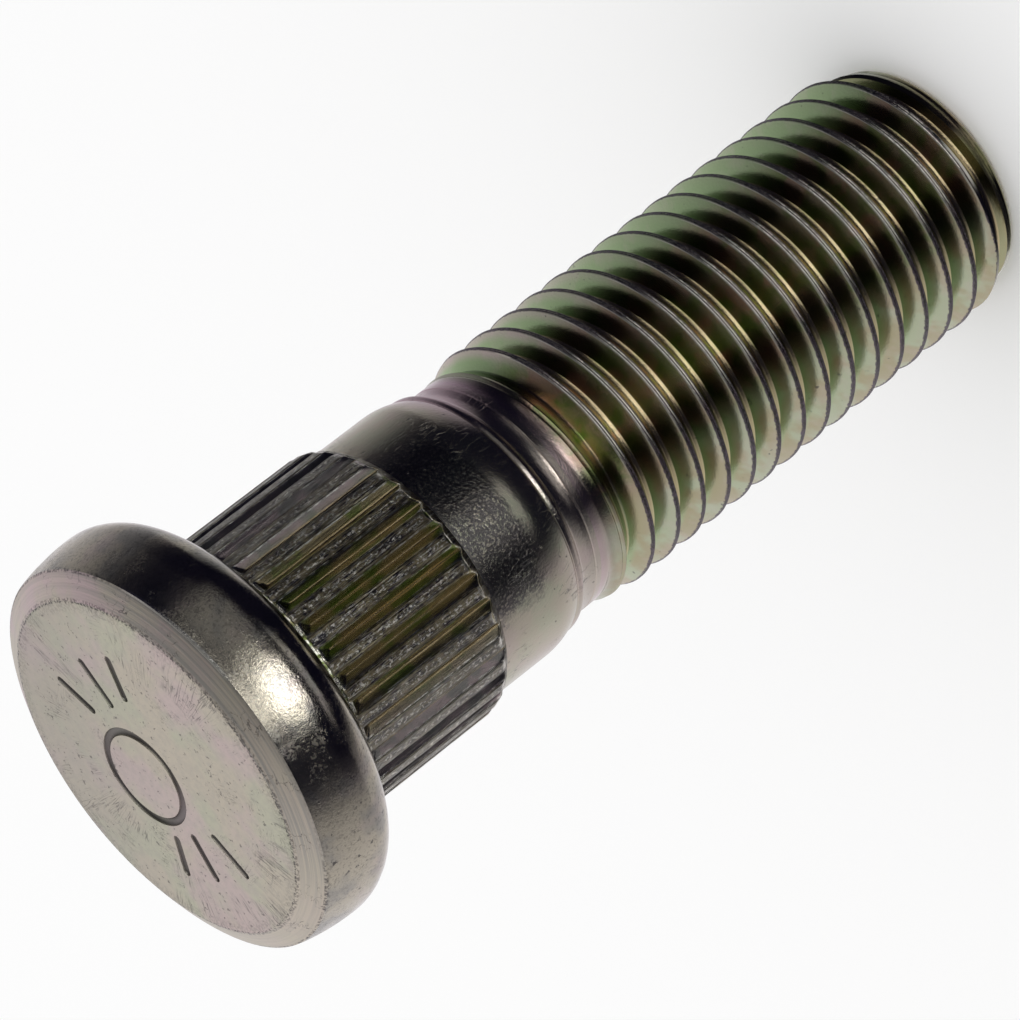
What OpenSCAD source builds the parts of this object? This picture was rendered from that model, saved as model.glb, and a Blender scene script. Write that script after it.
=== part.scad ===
// Press-in wheel stud: round head, serrated section, plain shoulder, rolled right-hand thread
// Millimetres, +Z up, origin at the centre of the threaded end, which the stud stands on
// The lengths below are laid end to end, from the threaded end up to the head

/* [Thread] */
// Length of the threaded end, with its run-out
thread_l = 25.5; // [14:0.5:50]
// Diameter over the thread crests
thread_d = 11.86; // [11.5:0.02:12]
// Axial step of one turn
thread_pitch = 1.5; // [1:0.25:2]
// Width of the flat on a crest
crest_flat = 0.19; // [0.1:0.01:0.3]
// Width of the rounded bottom between two turns
root_w = 0.34; // [0.2:0.02:0.44]
// Angle between the two flanks
flank_angle = 60; // [55:1:65]
// Height over which the thread fades into the neck
runout_l = 2.2; // [1:0.1:6]
// Height of a crest over the angle 0, which sets the turn of the whole helix
crest_start_h = 0.8; // [0:0.1:1.5]

/* [Threaded end] */
// Diameter of the flat end face
end_d = 9.7; // [8:0.1:9.8]
// Radius of the round edge of the end face
end_round = 0.45; // [0.2:0.05:0.5]
// Height of the lead-in taper above the round edge
lead_in_h = 1.5; // [0.5:0.1:4]

/* [Neck] */
// Length of the plain neck between thread and shoulder
neck_l = 0.95; // [0.5:0.05:4]
// Diameter of the neck, which is the blank that the thread is rolled on
neck_d = 11; // [10.8:0.05:11.4]

/* [Shoulder] */
// Length of the true cylinder of the shoulder
shoulder_l = 3.05; // [1:0.05:12]
// Diameter of the shoulder
shoulder_d = 12.1; // [11.9:0.05:12.1]
// Length of the rounded shoulder end
shoulder_round_l = 1.25; // [0.5:0.05:3]
// Diameter at the small end of the rounding
shoulder_end_d = 11.6; // [11.5:0.05:11.8]
// Width of the crease below the rounding
crease_w = 0.1; // [0.05:0.01:0.2]
// Depth of the crease
crease_depth = 0.05; // [0.02:0.01:0.08]
// Length of the narrow bead between crease and neck
bead_l = 0.25; // [0.1:0.05:0.6]
// Length of the taper from the bead down to the neck
bead_taper_l = 0.2; // [0.1:0.05:0.6]

/* [Serrations] */
// Length of the serrated section, up to the underside of the head
knurl_l = 8.9; // [4:0.1:20]
// Diameter over the serrations
knurl_d = 12.9; // [12.6:0.05:13.4]
// Number of serrations
knurl_count = 32; // [20:1:40]
// Depth of the valleys
knurl_depth = 0.38; // [0.2:0.02:0.4]
// Width of the flat top of one serration
knurl_land_w = 0.5; // [0.3:0.05:0.6]
// Width of the valley bottom
knurl_root_w = 0.1; // [0.05:0.01:0.14]
// Height of the taper where the serrations meet the shoulder
knurl_taper_l = 0.65; // [0.3:0.05:2]
// Turn of the first serration about the axis
knurl_turn = 1; // [0:0.5:18]

/* [Head] */
// Thickness of the head
head_h = 4.7; // [4:0.1:9]
// Largest diameter of the rim
head_d = 18.5; // [18.2:0.1:22]
// Distance from the rim in to the edge where the bevel starts
bevel_in = 0.3; // [0.1:0.05:0.6]
// Width of the bevel, from that edge in to the flat outer face
bevel_w = 1.1; // [0.4:0.1:3]
// Height of the bevel
bevel_h = 0.6; // [0.3:0.1:1]
// Radius of the rim towards the underside
rim_round = 1.7; // [0.5:0.1:2]
// Length of the band between the serrations and the underside
band_l = 0.85; // [0.6:0.05:1.5]
// Depth of the band below the tops of the serrations
band_drop = 0.1; // [0.05:0.01:0.15]
// Length of the ramp on which each valley ends at the band
scoop_l = 0.5; // [0.3:0.05:1]
// Radius of the fillet under the head
head_fillet = 0.5; // [0.3:0.05:0.55]

/* [Hidden] */
turn_facets = 30;
// The flanks of the serrations run on by this share
cut_over = 0.1;
// The serrations reach this far down into the shoulder
foot_l = 0.3;
least_fillet = 0.05;

neck_z = thread_l;
bead_z = neck_z + neck_l;
crease_z = bead_z + bead_taper_l + bead_l;
round_z = crease_z + crease_w;
shoulder_z = round_z + shoulder_round_l;
knurl_z = shoulder_z + shoulder_l;
head_z = knurl_z + knurl_l;
face_z = head_z + head_h;
band_z = head_z - band_l;
ramp_z = band_z - scoop_l;

thread_r = thread_d / 2;
neck_r = neck_d / 2;
shoulder_r = shoulder_d / 2;
shoulder_end_r = shoulder_end_d / 2;
knurl_r = knurl_d / 2;
knurl_root_r = knurl_r - knurl_depth;
band_r = knurl_r - band_drop;
head_r = head_d / 2;
underside_r = head_r - rim_round;
bevel_r = head_r - bevel_in;
face_r = bevel_r - bevel_w;
// The fillet is no wider than the flat underside
fillet_r = min(head_fillet, max(underside_r - band_r, least_fillet));

// Overlap of the thread with the plain end below it and the neck above it
thread_overlap = 0.15;
// The faded thread lies this far inside the neck and the plain end
neck_inset = 0.03;
// The rounded root bulges by this part of its width
root_bulge = 0.13;
thread_z = end_round - thread_overlap;
thread_top_z = neck_z + thread_overlap;
end_r = end_d / 2 + end_round;
blank_r = neck_r - neck_inset;

// Height of the straight flank, from its width and its angle
flank_w = (thread_pitch - crest_flat - root_w) / 2;
flank_h = flank_w / tan(flank_angle / 2);
root_side_r = thread_r - flank_h;
root_r = root_side_r - root_w * root_bulge;

// One turn of the thread as [share of the pitch, radius], from one valley bottom to the next
turn_profile = [
    [0, root_r],
    [root_w / 2 / thread_pitch, root_side_r],
    [(root_w / 2 + flank_w) / thread_pitch, thread_r],
    [(root_w / 2 + flank_w + crest_flat) / thread_pitch, thread_r],
    [1 - root_w / 2 / thread_pitch, root_side_r]
];
profile_n = len(turn_profile);

// The valley bottom lies half a pitch below the crest, and the helix starts below the part
helix_z = crest_start_h - thread_pitch * (1.5 + ceil(crest_start_h / thread_pitch));
turns = ceil((thread_top_z - helix_z) / thread_pitch) + 1;
steps = turns * turn_facets;

function limit(v, low, high) = min(max(v, low), high);

// Radius that the lead-in taper leaves at a height
function taper_r(z) = end_r - neck_inset + (thread_r - end_r) * max(0, z - end_round) / lead_in_h;

// Share of the full thread at a height, which falls to nothing at the neck
function fade(z) = limit((neck_z - z) / runout_l, 0, 1);

function surface_r(z, r) = min(taper_r(z), blank_r + (r - blank_r) * fade(z));

function step_z(i, j) = helix_z + thread_pitch * (i / turn_facets + turn_profile[j][0]);

function ring_point(i, r, z) =
    [r * cos(360 * i / turn_facets), r * sin(360 * i / turn_facets), z];

// Every point of the helix, then the ring of points at the bottom and the ring at the top
helix_points = [
    for (i = [0:steps])
        for (j = [0:profile_n - 1])
            let (z = limit(step_z(i, j), thread_z, thread_top_z))
                ring_point(i, surface_r(z, turn_profile[j][1]), z)
];
bottom_ring = [for (i = [0:turn_facets - 1]) ring_point(i, surface_r(thread_z, root_r), thread_z)];
top_ring = [for (i = [0:turn_facets - 1]) ring_point(i, blank_r, thread_top_z)];
bottom_start = len(helix_points);
top_start = bottom_start + turn_facets;

// A helix point beyond either end gives way to the ring point below or above it
function point_id(i, j) =
    j == profile_n ? point_id(i + turn_facets, 0) :
    step_z(i, j) <= thread_z ? bottom_start + i % turn_facets :
    step_z(i, j) >= thread_top_z ? top_start + i % turn_facets :
    i * profile_n + j;

function is_face(f) = f[0] != f[1] && f[1] != f[2] && f[2] != f[0];

helix_faces = [
    for (i = [0:steps - turn_facets - 1])
        for (j = [0:profile_n - 1])
            let (a = point_id(i, j))
            let (b = point_id(i + 1, j))
            let (c = point_id(i + 1, j + 1))
            let (d = point_id(i, j + 1))
                for (f = [[a, c, b], [a, d, c]])
                    if (is_face(f)) f
];
bottom_face = [for (i = [0:turn_facets - 1]) bottom_start + i];
top_face = [for (i = [turn_facets - 1:-1:0]) top_start + i];

module thread() {
    polyhedron(
        points = concat(helix_points, bottom_ring, top_ring),
        faces = concat(helix_faces, [bottom_face, top_face])
    );
}

// Half section of the plain end: flat face and round edge
module end_section() {
    square([end_d / 2, end_round]);
    intersection() {
        translate([end_d / 2, end_round]) circle(r = end_round);
        square([end_r, end_round]);
    }
}

// Half section of neck, bead, crease and the core of the shoulder
module neck_section() {
    polygon([
        [0, neck_z],
        [neck_r, neck_z],
        [neck_r, bead_z],
        [shoulder_end_r, bead_z + bead_taper_l],
        [shoulder_end_r, crease_z],
        [shoulder_end_r - crease_depth, crease_z + crease_w / 2],
        [shoulder_end_r, round_z],
        [0, round_z]
    ]);
}

// Half section of the shoulder: a rounded end, and a cylinder that goes on as the core of the serrations
module shoulder_section() {
    fall = shoulder_r - shoulder_end_r;
    arc_r = (shoulder_round_l ^ 2 + fall ^ 2) / (2 * fall);
    translate([0, shoulder_z]) square([shoulder_r, ramp_z - shoulder_z]);
    intersection() {
        translate([shoulder_r - arc_r, shoulder_z]) circle(r = arc_r);
        translate([0, round_z]) square([shoulder_r, shoulder_round_l]);
    }
}

// Half section between serrations and head: the ramp, the band and the fillet
module band_section() {
    polygon([
        [0, ramp_z],
        [shoulder_r, ramp_z],
        [band_r, band_z],
        [band_r, head_z],
        [0, head_z]
    ]);
    difference() {
        translate([0, head_z - fillet_r]) square([band_r + fillet_r, fillet_r]);
        translate([band_r + fillet_r, head_z - fillet_r]) circle(r = fillet_r);
    }
}

// Half section of the head: bevelled face, bulging rim and round edge below
module head_section() {
    side_h = head_h - bevel_h - rim_round;
    side_arc_r = (side_h ^ 2 + bevel_in ^ 2) / (2 * bevel_in);
    widest_z = head_z + rim_round;
    translate([0, head_z]) square([underside_r, rim_round]);
    intersection() {
        translate([underside_r, widest_z]) circle(r = rim_round);
        translate([0, head_z]) square([head_r, rim_round]);
    }
    intersection() {
        translate([head_r - side_arc_r, widest_z]) circle(r = side_arc_r);
        translate([0, widest_z]) square([head_r, side_h]);
    }
    polygon([
        [0, face_z - bevel_h],
        [bevel_r, face_z - bevel_h],
        [face_r, face_z],
        [0, face_z]
    ]);
}

function polar(angle, r) = r * [cos(angle), sin(angle)];

// Cross-section of the serrations, whose flanks run on past their tops for the envelope to trim
module knurl_outline() {
    step = 360 / knurl_count;
    half_land = asin(knurl_land_w / 2 / knurl_r);
    half_root = asin(knurl_root_w / 2 / knurl_root_r);
    polygon([
        for (k = [0:knurl_count - 1])
            let (start = polar(k * step - step / 2 + half_root, knurl_root_r))
            let (rise = polar(k * step - half_land, knurl_r))
            let (fall = polar(k * step + half_land, knurl_r))
            let (end = polar(k * step + step / 2 - half_root, knurl_root_r))
                for (p = [start, rise + cut_over * (rise - start), fall + cut_over * (fall - end), end]) p
    ]);
}

module serrations() {
    taper_step = (knurl_r - shoulder_r) / knurl_taper_l;
    foot_z = knurl_z - foot_l;
    foot_r = shoulder_r - foot_l * taper_step;
    intersection() {
        rotate([0, 0, knurl_turn])
            translate([0, 0, foot_z]) linear_extrude(height = head_z - foot_z) knurl_outline();
        rotate_extrude($fn = 96) polygon([
            [0, foot_z],
            [foot_r, foot_z],
            [knurl_r, knurl_z + knurl_taper_l],
            [knurl_r, head_z],
            [0, head_z]
        ]);
    }
}

module wheel_stud() {
    color([0.62, 0.6, 0.52]) union() {
        thread();
        rotate_extrude($fn = 96) union() {
            end_section();
            neck_section();
            shoulder_section();
            band_section();
            head_section();
        }
        serrations();
    }
}

wheel_stud();
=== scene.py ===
# Press-in wheel stud, standing on its threaded end
import math

import bpy
from mathutils import Matrix, Vector, noise


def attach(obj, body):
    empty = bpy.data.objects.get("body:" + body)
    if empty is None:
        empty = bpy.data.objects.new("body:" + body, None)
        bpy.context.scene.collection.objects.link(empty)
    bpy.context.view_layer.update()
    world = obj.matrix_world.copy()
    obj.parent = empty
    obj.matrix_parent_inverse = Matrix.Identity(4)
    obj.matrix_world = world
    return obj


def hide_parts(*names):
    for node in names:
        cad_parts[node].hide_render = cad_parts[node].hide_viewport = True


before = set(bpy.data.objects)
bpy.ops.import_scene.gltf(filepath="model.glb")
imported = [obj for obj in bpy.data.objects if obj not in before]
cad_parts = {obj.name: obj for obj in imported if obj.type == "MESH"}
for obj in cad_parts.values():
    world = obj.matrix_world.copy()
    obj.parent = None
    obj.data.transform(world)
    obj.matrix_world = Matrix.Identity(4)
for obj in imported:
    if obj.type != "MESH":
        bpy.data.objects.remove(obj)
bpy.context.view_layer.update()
mm = 0.001
fullTurn = 2 * math.pi


# Selecting and editing

def deselectAll():
    if bpy.context.object and bpy.context.object.mode != "OBJECT":
        bpy.ops.object.mode_set(mode="OBJECT")
    bpy.ops.object.select_all(action="DESELECT")


def pick(piece):
    deselectAll()
    piece.select_set(True)
    bpy.context.view_layer.objects.active = piece


def selectVertices(piece, wanted):
    # leaves the piece in edit mode with just these vertices selected
    pick(piece)
    bpy.ops.object.mode_set(mode="EDIT")
    bpy.ops.mesh.select_mode(type="VERT")
    bpy.ops.mesh.select_all(action="DESELECT")
    bpy.ops.object.mode_set(mode="OBJECT")
    for vertex in piece.data.vertices:
        vertex.select = wanted(vertex.co)
    bpy.ops.object.mode_set(mode="EDIT")


def drawOutline(name, points):
    # one vertex, extruded from point to point as a pen line in the XZ plane
    deselectAll()
    bpy.ops.mesh.primitive_plane_add(size=1 * mm)
    line = bpy.context.object
    line.name = line.data.name = name
    bpy.ops.object.mode_set(mode="EDIT")
    bpy.ops.mesh.select_mode(type="VERT")
    bpy.ops.mesh.select_all(action="SELECT")
    bpy.ops.mesh.merge(type="CENTER")
    here = (0, 0)
    for index, there in enumerate(points):
        step = ((there[0] - here[0]) * mm, 0, (there[1] - here[1]) * mm)
        if index == 0:
            bpy.ops.transform.translate(value=step)
        else:
            bpy.ops.mesh.extrude_vertices_move(TRANSFORM_OT_translate={"value": step})
        here = there
    bpy.ops.object.mode_set(mode="OBJECT")
    return line


def mergeDoubles(piece, apart):
    pick(piece)
    bpy.ops.object.mode_set(mode="EDIT")
    bpy.ops.mesh.select_all(action="SELECT")
    bpy.ops.mesh.remove_doubles(threshold=apart * mm)
    bpy.ops.object.mode_set(mode="OBJECT")


def turnOutward(piece):
    # all faces point out of the solid
    pick(piece)
    bpy.ops.object.mode_set(mode="EDIT")
    bpy.ops.mesh.select_all(action="SELECT")
    bpy.ops.mesh.normals_make_consistent(inside=False)
    bpy.ops.object.mode_set(mode="OBJECT")


def spinOutline(line, columns):
    pick(line)
    bpy.ops.object.mode_set(mode="EDIT")
    bpy.ops.mesh.select_all(action="SELECT")
    bpy.ops.mesh.spin(steps=columns, angle=fullTurn, center=(0, 0, 0), axis=(0, 0, 1))
    bpy.ops.object.mode_set(mode="OBJECT")
    mergeDoubles(line, 0.0005)


def applyModifier(piece, modifier):
    pick(piece)
    bpy.ops.object.modifier_apply(modifier=modifier.name)


def arc(centreR, centreZ, radius, fromDeg, toDeg, steps):
    # points on an arc in the XZ plane, 0 degrees outward and 90 up
    return [
        (
            centreR + radius * math.cos(math.radians(fromDeg + (toDeg - fromDeg) * i / steps)),
            centreZ + radius * math.sin(math.radians(fromDeg + (toDeg - fromDeg) * i / steps)),
        )
        for i in range(steps + 1)
    ]


def rise(low, high, value):
    # 0 below low, 1 above high, smooth between
    share = min(max((value - low) / (high - low), 0), 1)
    return share * share * (3 - 2 * share)


def wander(x, y, z, seed):
    # smooth noise from about -1 to 1
    return noise.noise(Vector((x + 13.7 * seed, y - 5.1 * seed, z + 3.3 * seed)))


# Sizes of the stud in millimetres, from the threaded end up

head = {
    "faceZ": 44.9,
    "faceR": 7.85,
    "bevelR": 8.95,
    "bevelZ": 44.3,
    "widestR": 9.244,
    "undersideZ": 40.2,
    "rimRound": 1.7,
    "edgeRound": 0.09,
    "filletR": 0.5,
    "dent": 0.012,
    "sideRows": 9,
    "underRows": 14,
    "filletRows": 6,
}
bandR = 6.35
serration = {
    "count": 32,
    "turnDeg": 1,
    "topR": 6.45,
    "rootR": 6.07,
    "landShare": 0.4,
    "rootRound": 0.1,
    "footZ": 31.3,
    "taperL": 0.45,
    "bandZ": 39.35,
    "scoopL": 0.75,
    "rough": 0.014,
    "groove": 0.03,
    "fineRow": 0.085,
    "coarseRow": 0.37,
}
shoulder = {
    "topR": 6.05,
    "endR": 5.8,
    "roundTopZ": 28.25,
    "roundEndZ": 27.0,
    "creaseZ": 26.95,
    "creaseW": 0.1,
    "creaseDepth": 0.06,
    "beadEndZ": 26.65,
    "neckStartZ": 26.45,
    "neckR": 5.5,
    "neckEndZ": 25.45,
    # places below the neck's start, and how deep the neck dips there: a slight waist, then a fine crease
    "waist": [
        (0.34, 0.03), (0.52, 0.036), (0.68, 0.026), (0.8, 0.008),
        (0.84, 0.04), (0.86, 0.04), (0.9, 0.002),
    ],
    "wave": 0.006,
    "roundRows": 8,
}
thread = {
    "crestR": 5.93,
    "pitch": 1.5,
    "crestHeight": 0.8,
    "seam": 0.03,
    "rootR": 5.046,
    "topZ": 25.3,
    "bottomZ": 0.3,
    "shallowZ": 0.55,
    "fadeTop": 25.05,
    "fadeL": 1.8,
    "blankR": 5.5,
    "lipGap": 0.07,
    "endR": 4.85,
    "endRound": 0.45,
    "leadIn": 1.5,
    "stepsPerTurn": 128,
    "endRows": 5,
}
columnsPerSerration = 16
smoothDeg = 32


# Head, serrations, shoulder and neck: one outline, spun

def headOutline():
    h = head
    underR = h["widestR"] - h["rimRound"]
    widestZ = h["undersideZ"] + h["rimRound"]
    sideH = h["bevelZ"] - widestZ
    sideIn = h["widestR"] - h["bevelR"]
    sideArcR = (sideH ** 2 + sideIn ** 2) / (2 * sideIn)
    sideDeg = math.degrees(math.asin(sideH / sideArcR))
    side = arc(h["widestR"] - sideArcR, widestZ, sideArcR, sideDeg, 0, h["sideRows"])
    under = arc(underR, widestZ, h["rimRound"], 0, -90, h["underRows"])
    slope = math.atan2(h["faceZ"] - h["bevelZ"], h["bevelR"] - h["faceR"])

    def onBevel(share):
        r = h["faceR"] + share * (h["bevelR"] - h["faceR"])
        return (r, h["faceZ"] - share * (h["faceZ"] - h["bevelZ"]))

    # the face, the bevel and its two softened edges
    e = h["edgeRound"]
    bevel = [
        (h["faceR"] - 9 * e, h["faceZ"]),
        (h["faceR"] - 3 * e, h["faceZ"]),
        (h["faceR"] - e, h["faceZ"] - 0.04 * e),
        (h["faceR"], h["faceZ"] - 0.25 * e),
        (h["faceR"] + e * math.cos(slope), h["faceZ"] - 0.2 * e - e * math.sin(slope)),
        onBevel(0.37),
        onBevel(0.7),
        (h["bevelR"] - 1.3 * e * math.cos(slope), h["bevelZ"] + 1.3 * e * math.sin(slope)),
        (h["bevelR"] - 0.1 * e, h["bevelZ"] - 0.1 * e),
        (h["bevelR"] + 0.13 * e, h["bevelZ"] - 1.2 * e),
    ]
    filletZ = h["undersideZ"] - h["filletR"]
    fillet = arc(bandR + h["filletR"], filletZ, h["filletR"], 90, 180, h["filletRows"])
    return bevel + side[1:] + under[1:] + fillet


def serrationRings():
    # rows are close together at both ends of the serrations
    s = serration
    points = [(bandR, s["bandZ"] + 0.12)]
    z = s["bandZ"] + 0.05
    while z > s["footZ"] - 0.1:
        inFine = z > s["bandZ"] - s["scoopL"] - 0.3 or z < s["footZ"] + s["taperL"] + 0.25
        topR = s["topR"] + (bandR - s["topR"]) * rise(s["bandZ"] - 0.12, s["bandZ"] + 0.04, z)
        taperR = shoulder["topR"] + (s["topR"] - shoulder["topR"]) * (z - s["footZ"]) / s["taperL"]
        points.append((max(min(topR, taperR), shoulder["topR"]), z))
        z -= s["fineRow"] if inFine else s["coarseRow"]
    return points


def shoulderOutline():
    s = shoulder
    fall = s["topR"] - s["endR"]
    length = s["roundTopZ"] - s["roundEndZ"]
    arcR = (length ** 2 + fall ** 2) / (2 * fall)
    endDeg = math.degrees(math.asin(length / arcR))
    # rows down the plain part, 0.3 mm apart
    plain = [(s["topR"], z / 10) for z in range(309, 282, -3)]
    rounding = arc(s["topR"] - arcR, s["roundTopZ"], arcR, 0, -endDeg, s["roundRows"])
    half = s["creaseW"] / 2
    crease = [
        (s["endR"] - 0.01, s["creaseZ"] + 0.5 * half),
        (s["endR"] - s["creaseDepth"], s["creaseZ"] + 0.1 * half),
        (s["endR"] - s["creaseDepth"], s["creaseZ"] - 0.1 * half),
        (s["endR"] - 0.01, s["creaseZ"] - half),
    ]
    bead = [
        (s["endR"] - 0.003, s["creaseZ"] - 2 * half),
        (s["endR"] + 0.005, s["creaseZ"] - 3.1 * half),
        (s["endR"] + 0.009, s["creaseZ"] - 3.8 * half),
        (s["endR"] + 0.006, s["creaseZ"] - 4.6 * half),
        (s["endR"] - 0.01, s["beadEndZ"]),
        (s["endR"] - 0.05, s["beadEndZ"] - 0.04),
        (s["neckR"] + 0.1, s["neckStartZ"] + 0.03),
        (s["neckR"] + 0.03, s["neckStartZ"] - 0.05),
        (s["neckR"], s["neckStartZ"] - 0.15),
    ]
    neck = [(s["neckR"] - dip, s["neckStartZ"] - down) for down, dip in s["waist"]]
    neck.append((s["neckR"], s["neckEndZ"]))
    return plain + rounding + crease + bead + neck


def unevenColumns(piece):
    # the columns of each serration move to its root, its flanks and the edges of its land
    s = serration
    landEdge = 0.5 - s["landShare"] / 2
    # where the columns stand, as shares of one serration
    places = [0, 0.016, 0.036, 0.07, 0.15, landEdge - 0.06, landEdge + 0.01, 0.4, 0.5]
    places += [1 - p for p in places[-2:0:-1]]
    columns = s["count"] * columnsPerSerration
    for vertex in piece.data.vertices:
        x, y, z = vertex.co
        index = round(math.atan2(y, x) / fullTurn * columns) % columns
        whole, part = divmod(index, columnsPerSerration)
        turn = (whole + places[part]) / s["count"] * fullTurn
        angle = turn + math.radians(s["turnDeg"]) + math.pi / s["count"]
        r = math.hypot(x, y)
        vertex.co = (r * math.cos(angle), r * math.sin(angle), z)


def carveSerrations(piece):
    s = serration
    shift = math.radians(s["turnDeg"]) + math.pi / s["count"]
    for vertex in piece.data.vertices:
        x, y, z = (c / mm for c in vertex.co)
        r = math.hypot(x, y)
        if not s["footZ"] - 0.2 < z < s["bandZ"] + 0.2:
            continue
        angle = math.atan2(y, x)
        turn = (angle - shift) / fullTurn * s["count"]
        which = round(turn)
        away = abs(turn - which)
        wide = wander(which * 1.7, 0.13 * z, 0, 1)
        landEdge = 0.5 - s["landShare"] / 2 + 0.02 * wide + 0.012 * wander(which * 3.1, 0.9 * z, away, 2)
        floorR = s["rootR"] + 0.03 * wander(which * 2.3, 0.2 * z, 0, 3)
        up, c = away / landEdge, s["rootRound"]
        flankR = floorR + (s["topR"] - floorR) * (math.hypot(up, c) - c) / (math.hypot(1, c) - c)
        scoop = rise(s["bandZ"] - s["scoopL"], s["bandZ"] + 0.08, z)
        scoopR = floorR + (bandR + 0.1 - floorR) * scoop
        # the tops are rough, with a shallow groove down the middle
        onLand = rise(landEdge - 0.02, landEdge + 0.04, away)
        middle = 1 - rise(0.0, 0.13, 0.5 - away)
        fine = wander(40 * angle, 0, 7 * z, 5)
        rough = s["rough"] * (wander(9 * angle, 9 * angle, 2.2 * z, 4) + 0.5 * fine)
        ends = rise(s["footZ"] + s["taperL"], s["footZ"] + s["taperL"] + 0.5, z)
        grooveDepth = s["groove"] * (0.75 + 0.6 * wander(which * 5.9, 0.5 * z, 0, 6)) * ends
        landR = r + onLand * (rough - 0.5 * s["rough"] - middle * grooveDepth)
        newR = max(min(landR, max(flankR, scoopR)), shoulder["topR"] - 0.01)
        newR = min(newR, s["topR"])
        vertex.co = (newR * mm * math.cos(angle), newR * mm * math.sin(angle), z * mm)


def addHollows(piece):
    # hardly visible hollows in the forged rim, and a slight waviness of the shoulder
    for vertex in piece.data.vertices:
        x, y, z = (c / mm for c in vertex.co)
        r = math.hypot(x, y)
        if r < 0.01:
            continue
        onRim = rise(head["undersideZ"] - 0.05, head["undersideZ"] + 0.4, z)
        onRim *= 1 - rise(head["bevelZ"] - 0.2, head["bevelZ"], z)
        onShoulder = rise(shoulder["roundEndZ"], shoulder["roundEndZ"] + 0.4, z)
        onShoulder *= 1 - rise(serration["footZ"] - 0.3, serration["footZ"], z)
        broad = wander(0.8 * x, 0.8 * y, 0.8 * z, 7)
        fine = wander(2.6 * x, 2.6 * y, 2.6 * z, 8)
        dent = head["dent"] * onRim * min(broad + 0.8 * fine, 0)
        wave = shoulder["wave"] * onShoulder * min(wander(0.6 * x, 0.6 * y, 0.5 * z, 9) - 0.1, 0)
        newR = r + dent + wave
        vertex.co = (x / r * newR * mm, y / r * newR * mm, z * mm)


def makeUpperBody():
    outline = headOutline() + serrationRings() + shoulderOutline()
    body = drawOutline("studBody", outline)
    spinOutline(body, serration["count"] * columnsPerSerration)
    # the flat outer face closes the top ring
    innerR = (head["faceR"] - 6 * head["edgeRound"]) * mm
    selectVertices(body, lambda co: co.z > (head["faceZ"] - 0.001) * mm and math.hypot(co.x, co.y) < innerR)
    bpy.ops.mesh.edge_face_add()
    bpy.ops.object.mode_set(mode="OBJECT")
    unevenColumns(body)
    carveSerrations(body)
    addHollows(body)
    return body


# Thread: one turn of the profile, screwed up the helix

def threadProfile():
    t = thread
    side = [(0, t["rootR"]), (0.09, t["rootR"] + 0.012), (0.165, t["rootR"] + 0.05)]
    flank = [(0.36, t["rootR"] + 0.38), (0.61, t["crestR"] - 0.08)]
    crest = [(0.648, t["crestR"] - 0.022), (0.695, t["crestR"])]
    seam = [(0.75, t["crestR"] - t["seam"])]
    up = side + flank + crest
    down = [(t["pitch"] - z, r) for z, r in reversed(up)]
    return up + seam + down


def profileRadius(share):
    # radius of the full thread at a share of the pitch, from one root to the next
    z = share * thread["pitch"]
    profile = threadProfile()
    for (lowZ, lowR), (highZ, highR) in zip(profile, profile[1:]):
        if z <= highZ:
            return lowR + (highR - lowR) * (z - lowZ) / (highZ - lowZ)
    return profile[-1][1]


def threadLimits(z, r, share):
    # the thread fades into the neck, and a taper trims it towards the tip, where its roots get shallower
    t = thread
    fade = min(max((t["fadeTop"] - z) / t["fadeL"], 0), 1)
    fade *= rise(0, 0.3, fade)
    # an unfinished crest keeps a gap between its two lips
    gap = rise(0, 0.2, fade) * (1 - rise(0.6, 1, fade)) * max(1 - abs(share - 0.5) / 0.08, 0)
    faded = t["blankR"] + (r - t["blankR"]) * fade - t["lipGap"] * gap
    tipR = t["endR"] + t["endRound"]
    taper = tipR + (t["crestR"] - tipR) * max(z - t["endRound"], 0) / t["leadIn"]
    shallow = tipR - 0.03 - 0.25 * rise(t["shallowZ"], t["shallowZ"] + 0.3, z)
    return min(max(faded, shallow), taper)


def makeThread():
    t = thread
    start = t["crestHeight"] - 2.5 * t["pitch"]
    turns = math.ceil((t["topZ"] - start) / t["pitch"]) + 1
    coil = drawOutline("threadCoil", [(r, start + z) for z, r in threadProfile()])
    screw = coil.modifiers.new("Screw", "SCREW")
    screw.screw_offset = t["pitch"] * mm
    screw.steps = screw.render_steps = t["stepsPerTurn"]
    screw.iterations = turns
    applyModifier(coil, screw)
    # rows beyond either end fall together on the end rings
    for vertex in coil.data.vertices:
        x, y, z = (c / mm for c in vertex.co)
        r = math.hypot(x, y)
        column = round(math.atan2(y, x) / fullTurn * t["stepsPerTurn"])
        angle = column / t["stepsPerTurn"] * fullTurn
        beyond = z <= t["bottomZ"] or z >= t["topZ"]
        z = min(max(z, t["bottomZ"]), t["topZ"])
        share = ((z - start) / t["pitch"] - angle / fullTurn) % 1
        r = threadLimits(z, profileRadius(share) if beyond else r, share)
        vertex.co = (r * mm * math.cos(angle), r * mm * math.sin(angle), z * mm)
    mergeDoubles(coil, 0.0008)
    return coil


def joinAll(main, others):
    deselectAll()
    for other in others:
        other.select_set(True)
    main.select_set(True)
    bpy.context.view_layer.objects.active = main
    bpy.ops.object.join()


def bridgeRings(piece, heights):
    def isRing(co):
        return any(abs(co.z / mm - z) < 0.001 for z in heights)
    selectVertices(piece, isRing)
    bpy.ops.mesh.select_mode(type="EDGE")
    bpy.ops.mesh.bridge_edge_loops()
    bpy.ops.object.mode_set(mode="OBJECT")


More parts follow.
